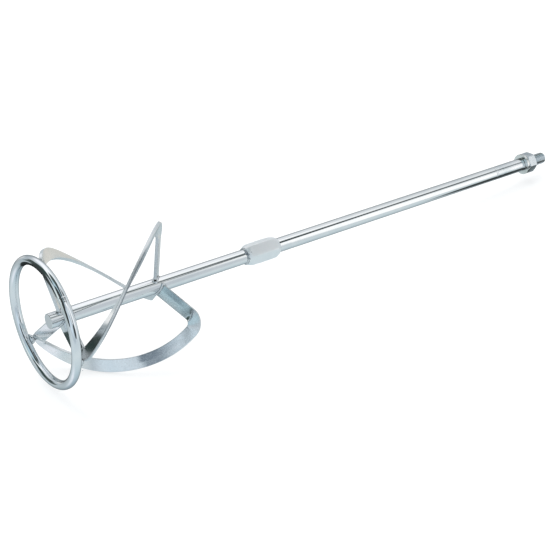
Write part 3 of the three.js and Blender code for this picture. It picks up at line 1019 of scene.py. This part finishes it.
CAMERA_PLACE = Vector((0.8631, -0.9258, -0.5085))
CAMERA_AIM = Vector((0.1272, -0.0969, 0.1707))
CAMERA_LENS = 88.63
CAMERA_ROLL = 0.14
CAMERA_SHIFT = 0.0015
FLOOR_UP = Vector((-0.1389, -0.9867, -0.0848)).normalized()
PLATE_REFLECTANCE = 0.84
FLOOR_GLOW = 0.72
FLOOR_HALF = 4.0
FLOOR_GAP = 0.0003
SOFTBOX_DIRECTION = (-150, 62)
SOFTBOX_DISTANCE = 2.6
SOFTBOX_SIZE = 3.0
SOFTBOX_POWER = 95.0
SHADE_COLOUR = (0.05, 0.06, 0.06)

# The contact shade on the floor: the way to it from the shaft, the height up the shaft it lies
# beside, and its half-length and half-width in millimetres.
SHADE_DIRECTION = (92, -28)
SHADE_HEIGHT = 590
SHADE_SIZE = (125, 30)
SQUARE = ((-1, -1), (1, -1), (1, 1), (-1, 1))

# Dark flags beside the ring: name, place and radius in millimetres.
DARK_FLAGS = (
    ("flag_in_ring", (-12, -48, -24), 23),
    ("flag_beside_ring", (60, -70, -95), 36),
    ("flag_above_ring", (35, -110, -70), 36),
    ("flag_small", (-35, -35, -12), 14),
    ("flag_behind_ring", (120, -60, 0), 22),
)

# What the plate mirrors from floor to ceiling: elevation in degrees and screen colour.
STUDIO_BANDS = (
    (-90, (172, 190, 200)),
    (-58, (190, 204, 210)),
    (-30, (202, 212, 216)),
    (-3, (196, 205, 210)),
    (3, (190, 197, 203)),
    (20, (200, 206, 210)),
    (37, (210, 214, 217)),
    (46, (228, 231, 234)),
    (52, (250, 251, 254)),
    (61, (244, 246, 246)),
    (66, (130, 138, 138)),
    (69, (60, 72, 72)),
    (90, (80, 90, 88)),
)

# Cards of light and shade round the paddle: name, azimuth, elevation, half-width, half-height,
# lean, softness and screen colour. Angles are in degrees.
STUDIO_CARDS = (
    ("camera_side", 0, 26, 61, 33, 0, 0.12, (176, 186, 194)),
    ("camera_side_high", 35, 76, 44, 16, 0, 0.15, (56, 68, 70)),
    ("edge_light", 88, 68, 22, 6, 0, 0.4, (206, 212, 216)),
    ("bright_arc", 28, 44, 30, 5, 0, 0.5, (202, 210, 216)),
    ("front_glow", -14, 17, 26, 15, 0, 0.5, (204, 217, 227)),
    ("front_strip", 38, 24, 6, 24, 0, 0.5, (244, 248, 250)),
    ("dark_patch", 49, 21, 6, 13, 0, 0.5, (70, 82, 92)),
    ("right_top_grey", 86, 52, 8, 6, 0, 0.6, (186, 190, 192)),
    ("arm_low", -110, 4, 13, 15, 0, 0.35, (66, 76, 74)),
    ("arm_middle", -103, 22, 13, 14, 0, 0.3, (54, 68, 66)),
    ("arm_high", -92, 39, 20, 14, 0, 0.3, (52, 68, 64)),
    ("arm_gap", -62, 33, 10, 9, 0, 0.5, (170, 196, 206)),
    ("bend_light", -45, 60, 22, 16, 0, 0.25, (176, 198, 208)),
    ("light_spot", -70, 9, 10, 9, 0, 0.6, (228, 238, 234)),
    ("green_grey", -84, -14, 18, 9, 0, 0.6, (158, 170, 170)),
    ("arm_foot", -112, -14, 7, 8, 0, 0.5, (82, 92, 92)),
    ("white_left", -142, -13, 10, 9, 0, 0.4, (255, 255, 255)),
    ("white_back", -162, 37, 21, 22, 0, 0.4, (250, 250, 255)),
    ("floor_left", -68, -54, 18, 14, 0, 0.6, (226, 231, 238)),
    ("beige_back", 160, -20, 24, 13, 0, 0.5, (222, 220, 214)),
    ("right_grey", 62, 14, 7, 28, 0, 0.5, (188, 194, 200)),
    ("right_strip", 79, 15, 8, 24, -12, 0.22, (255, 255, 255)),
    ("strip_cap_low", 108, 40.5, 8, 3, 4, 0.5, (70, 80, 80)),
    ("strip_cap", 99, 45.5, 13, 3.4, 4, 0.4, (36, 46, 46)),
)


def add_camera():
    """The camera looks down on the paddle, which lies on the floor with its ring towards it."""
    data = bpy.data.cameras.new("camera")
    data.lens = CAMERA_LENS
    data.sensor_width = 36.0
    data.shift_y = CAMERA_SHIFT
    data.clip_end = 20.0
    camera = bpy.data.objects.new("camera", data)
    forward = (CAMERA_AIM - CAMERA_PLACE).normalized()
    right = forward.cross(FLOOR_UP).normalized()
    up = right.cross(forward)
    facing = Matrix((right, up, -forward)).transposed()
    turn = Matrix.Rotation(math.radians(-CAMERA_ROLL), 3, forward) @ facing
    camera.matrix_world = Matrix.Translation(CAMERA_PLACE) @ turn.to_4x4()
    bpy.context.scene.collection.objects.link(camera)
    bpy.context.scene.camera = camera


def lowest_along(direction):
    """The least distance of the object's CAD points along a direction, in metres."""
    least = math.inf
    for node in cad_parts.values():
        for vertex in node.data.vertices:
            least = min(least, vertex.co.dot(direction))
    return least


FLOOR_LEVEL = lowest_along(FLOOR_UP)


def floor_material():
    """Plain pale floor, lit mostly from within like a light table, and clear from below."""
    material, tree = new_material("floor_paint")
    tint = noise_node(tree, add_node(tree, "TexCoord", "Object"), 3.0)
    colour = ramp_node(tree, tint, [(0.3, (0.30, 0.30, 0.30)), (0.7, (0.32, 0.32, 0.32))])
    paint = add_node(tree, "BsdfDiffuse", "BSDF", {"Color": colour})
    glow = add_node(tree, "Emission", "Emission", {"Strength": FLOOR_GLOW})
    lit = add_node(tree, "AddShader", "Shader", {0: paint, 1: glow})
    from_below = add_node(tree, "NewGeometry", "Backfacing")
    clear = add_node(tree, "BsdfTransparent", "BSDF")
    use_shader(tree, mix_shader(tree, from_below, lit, clear))
    return material


def add_floor():
    """A wide plane that touches the paddle's lowest points, facing the floor's up direction."""
    side = FLOOR_UP.cross(AXIS).normalized()
    ahead = FLOOR_UP.cross(side)
    centre = FLOOR_UP * (FLOOR_LEVEL - FLOOR_GAP)
    corners = [centre + (side * a + ahead * b) * FLOOR_HALF for a, b in SQUARE]
    mesh = bpy.data.meshes.new("floor")
    mesh.from_pydata([tuple(c) for c in corners], [], [(0, 1, 2, 3)])
    mesh.materials.append(floor_material())
    floor = bpy.data.objects.new("floor", mesh)
    bpy.context.scene.collection.objects.link(floor)
    floor.visible_glossy = False


def studio_direction(azimuth, elevation):
    """A direction in the studio: azimuth 0 is towards the camera and 90 is to its right."""
    towards = CAMERA_PLACE - CAMERA_AIM
    towards = (towards - FLOOR_UP * towards.dot(FLOOR_UP)).normalized()
    right = FLOOR_UP.cross(towards)
    a = math.radians(azimuth)
    e = math.radians(elevation)
    return (right * math.sin(a) + towards * math.cos(a)) * math.cos(e) + FLOOR_UP * math.sin(e)


def tone(red, green, blue):
    """A linear colour that zinc plate mirrors as the given screen colour, from 0 to 255."""
    return tuple((((c / 255 + 0.055) / 1.055) ** 2.4) / PLATE_REFLECTANCE for c in (red, green, blue))


def dot_node(tree, vector, direction):
    return add_node(tree, "VectorMath", "Value", {0: vector, 1: direction}, operation="DOT_PRODUCT")


def add_card(tree, vector, base, card):
    """Paints one oval card of light or shade over the surroundings."""
    name, azimuth, elevation, width, height, lean, softness, colour = card
    centre = studio_direction(azimuth, elevation)
    level = FLOOR_UP.cross(centre).normalized()
    level = Matrix.Rotation(math.radians(lean), 3, centre) @ level
    upright = centre.cross(level)
    x = dot_node(tree, vector, level / math.sin(math.radians(width)))
    y = dot_node(tree, vector, upright / math.sin(math.radians(height)))
    x_squared = maths_node(tree, "MULTIPLY", x, x)
    y_squared = maths_node(tree, "MULTIPLY", y, y)
    reach = maths_node(tree, "SQRT", maths_node(tree, "ADD", x_squared, y_squared))
    inside = range_node(tree, reach, 1 + softness, 1 - softness, 0, 1, "SMOOTHSTEP")
    facing = maths_node(tree, "GREATER_THAN", dot_node(tree, vector, centre), 0.0)
    cover = maths_node(tree, "MULTIPLY", inside, facing)
    cover.node.name = name
    return mix_colour(tree, cover, base, (*tone(*colour), 1.0))


def add_surroundings():
    """The studio as the plate mirrors it. The camera itself sees plain white."""
    world = bpy.data.worlds.new("studio")
    bpy.context.scene.world = world
    world.use_nodes = True
    tree = world.node_tree
    tree.nodes.clear()
    direction = add_node(tree, "TexCoord", "Generated")
    height = range_node(tree, dot_node(tree, direction, FLOOR_UP), -1, 1, 0, 1)
    stops = [((1 + math.sin(math.radians(e))) / 2, tone(*colour)) for e, colour in STUDIO_BANDS]
    colour = ramp_node(tree, height, stops)
    for card in STUDIO_CARDS:
        colour = add_card(tree, direction, colour, card)
    seen = add_node(tree, "LightPath", "Is Camera Ray")
    colour = mix_colour(tree, seen, colour, (1.0, 1.0, 1.0, 1.0))
    use_shader(tree, add_node(tree, "Background", "Background", {"Color": colour}), "World")


def paint_dark(tree, cover):
    """Ends a material with the studio's dark where it covers, and nothing elsewhere."""
    dark = add_node(tree, "Emission", "Emission", {"Color": (*SHADE_COLOUR, 1.0)})
    clear = add_node(tree, "BsdfTransparent", "BSDF")
    use_shader(tree, mix_shader(tree, cover, clear, dark))


def shade_material():
    """A soft-edged dark oval, clear at its rim."""
    material, tree = new_material("contact_shade")
    place = add_node(tree, "TexCoord", "Object")
    reach = add_node(tree, "VectorMath", "Value", {0: place}, operation="LENGTH")
    paint_dark(tree, range_node(tree, reach, 1.0, 0.5, 0, 1, "SMOOTHSTEP"))
    return material


def flag_material():
    """A dark studio flag, clear at its rim."""
    material, tree = new_material("dark_flag")
    facing = add_node(tree, "LayerWeight", "Facing")
    paint_dark(tree, range_node(tree, facing, 0.9, 0.55, 0, 1))
    return material


def show_only_in_mirror(thing):
    """Leaves a studio thing visible to the plate's reflections alone."""
    thing.visible_camera = False
    thing.visible_diffuse = False
    thing.visible_shadow = False


def add_contact_shade():
    """The shade beside the far end of the shaft, where it nearly touches the floor."""
    down = studio_direction(*SHADE_DIRECTION)
    middle = AXIS * SHADE_HEIGHT * MM
    centre = middle + down * ((FLOOR_LEVEL - middle.dot(FLOOR_UP)) / down.dot(FLOOR_UP))
    side = FLOOR_UP.cross(AXIS).normalized()
    along = side.cross(FLOOR_UP)
    length, width = (size * MM for size in SHADE_SIZE)
    mesh = bpy.data.meshes.new("contact_shade")
    mesh.from_pydata([(a, b, 0) for a, b in SQUARE], [], [(0, 1, 2, 3)])
    mesh.materials.append(shade_material())
    shade = bpy.data.objects.new("contact_shade", mesh)
    turn = Matrix((along * length, side * width, FLOOR_UP)).transposed()
    shade.matrix_world = Matrix.Translation(centre) @ turn.to_4x4()
    bpy.context.scene.collection.objects.link(shade)
    show_only_in_mirror(shade)


def add_flags():
    """Small dark flags round the ring, which draw the dark streaks of its reflections."""
    paint = flag_material()
    for name, place, radius in DARK_FLAGS:
        flag = lump(name, Vector(place), WORLD_AXES, (radius, radius, radius), 1, 0.0)
        flag.data.materials.append(paint)
        show_only_in_mirror(flag)


def add_soft_light():
    """A wide soft light above the floor. The plate doesn't mirror it; it only lights the floor."""
    data = bpy.data.lights.new("softbox", "AREA")
    data.shape = "SQUARE"
    data.size = SOFTBOX_SIZE
    data.energy = SOFTBOX_POWER
    light = bpy.data.objects.new("softbox", data)
    direction = studio_direction(*SOFTBOX_DIRECTION)
    light.location = Vector((0, 0, 0.3)) + direction * SOFTBOX_DISTANCE
    light.rotation_mode = "QUATERNION"
    light.rotation_quaternion = (-direction).to_track_quat("-Z", "Y")
    light.visible_glossy = False
    light.visible_camera = False
    bpy.context.scene.collection.objects.link(light)


def set_tones():
    """Plain tones, so that white stays white."""
    bpy.context.scene.view_settings.view_transform = "Standard"
    bpy.context.scene.view_settings.look = "None"


build_paddle()
add_camera()
add_floor()
add_contact_shade()
add_flags()
add_surroundings()
add_soft_light()
set_tones()
